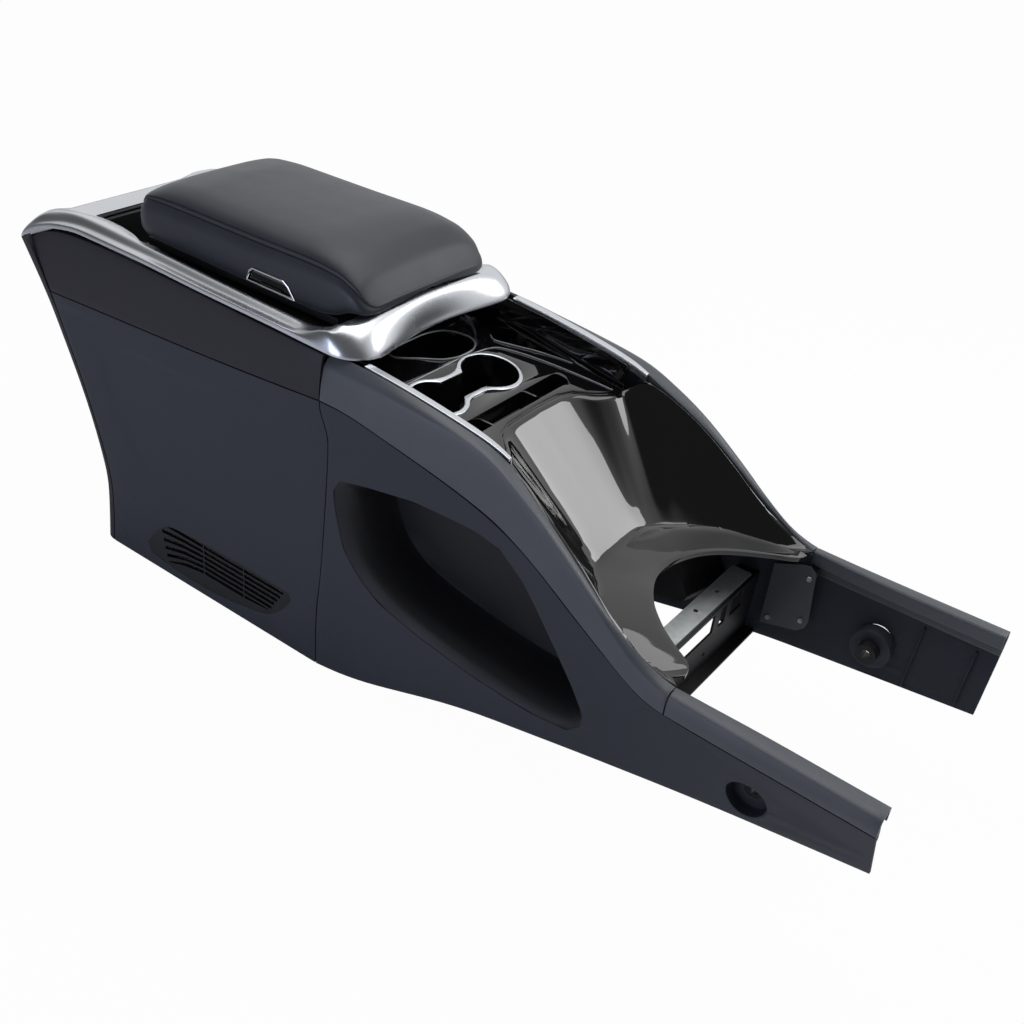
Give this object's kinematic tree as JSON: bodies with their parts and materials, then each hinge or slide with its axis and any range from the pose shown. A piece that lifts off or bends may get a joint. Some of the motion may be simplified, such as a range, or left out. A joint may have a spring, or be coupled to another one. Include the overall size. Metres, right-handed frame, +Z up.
{
  "type": "car center console",
  "caption": "Automotive centre console with a side-opening padded armrest, cup and storage tray, side pockets, vents and two front arms.",
  "frame": {"origin": "middle of the console's bounding box at the height of its lower edge", "axes": "+X towards the dashboard end with the two arms, +Z up, +Y towards the hinge side of the armrest lid"},
  "size_m": [1.1847, 0.3504, 0.4964],
  "materials": {
    "panel": "fine-grained matt charcoal",
    "strip": "fine-grained matt near-black",
    "rail": "satin dark grey",
    "satin": "satin silver plating on moulded plastic",
    "gloss": "polished piano black",
    "leather": "fine-grained dark grey leather",
    "inner": "plain matt black moulding",
    "chrome": "bright chrome plating",
    "zinc": "zinc-plated sheet steel",
    "steel": "bright zinc-plated steel"
  },
  "bodies": {
    "console": {"arm_bushing_left": "inner", "arm_bushing_right": "inner", "arm_rail_left": "rail", "arm_rail_right": "rail", "bulkhead_mid": "inner", "bulkhead_rear": "inner", "carrier_frame": "inner", "cross_bracket": "zinc", "cup_insert": "gloss", "cup_ring": "satin", "deck": "gloss", "hinge_pin_front": "steel", "hinge_pin_rear": "steel", "mount_plate_left": "inner", "mount_plate_right": "inner", "plate_screw_left_1": "steel", "plate_screw_left_2": "steel", "plate_screw_left_3": "steel", "plate_screw_right_1": "steel", "plate_screw_right_2": "steel", "plate_screw_right_3": "steel", "pocket_liner_left": "inner", "pocket_liner_right": "inner", "ramp": "gloss", "rear_cover": "strip", "rear_pocket": "inner", "side_panel_front_left": "panel", "side_panel_front_right": "panel", "side_panel_rear_left": "panel", "side_panel_rear_right": "panel", "side_rail_left": "rail", "side_rail_right": "rail", "side_strip_left": "strip", "side_strip_right": "strip", "storage_bin": "inner", "trim_frame": "satin", "trim_strip_left": "satin", "trim_strip_right": "satin", "vent_grille_left": "inner", "vent_grille_right": "inner"},
    "lid": {"armrest_pad": "leather", "lid_base": "inner", "latch_bezel": "chrome", "latch_pin": "steel"},
    "latch": {"latch_lever": "gloss"}
  },
  "joints": [
    {"name": "lid_hinge", "type": "hinge", "parent": "console", "child": "lid", "pos_m": [-0.2444, 0.1092, 0.418], "axis": [-1, 0, 0], "range_deg": [0, 76]},
    {"name": "latch_pull", "type": "hinge", "parent": "lid", "child": "latch", "pos_m": [-0.1889, -0.1018, 0.4385], "axis": [-1, 0, 0], "range_deg": [0, 12], "stiffness_Nm_per_rad": 0.02, "springref_deg": -17.19}
  ]
}
